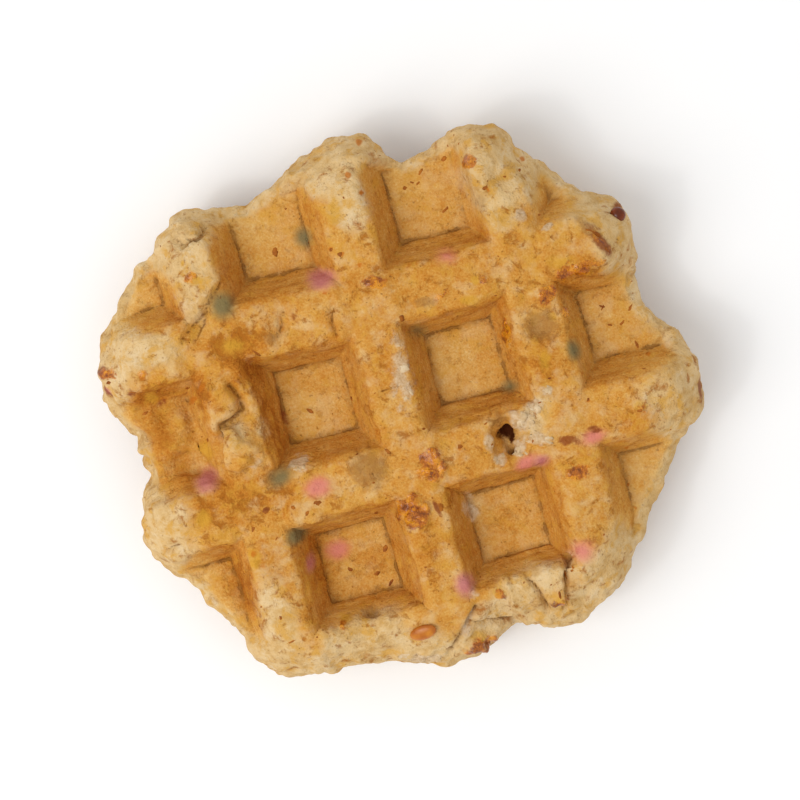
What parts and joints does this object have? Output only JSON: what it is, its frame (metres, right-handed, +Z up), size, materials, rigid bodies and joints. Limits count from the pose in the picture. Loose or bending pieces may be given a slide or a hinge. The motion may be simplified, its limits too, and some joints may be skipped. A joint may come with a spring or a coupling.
{
  "type": "liege waffle",
  "caption": "Thick uneven round waffle of sweet yeast dough, with deep square pockets pressed into both faces and a lumpy free edge.",
  "frame": {"origin": "on the surface that the waffle lies on, under the middle of its outline", "axes": "+Z up, +X and +Y along the two sets of ridges, +X along the waffle's longer side"},
  "size_m": [0.1036, 0.0956, 0.0257],
  "materials": {
    "crust": "matt golden crust, paler at the free edge, with small glossy spots where sugar melted"
  },
  "bodies": {
    "root": {"waffle": "crust"}
  },
  "joints": []
}
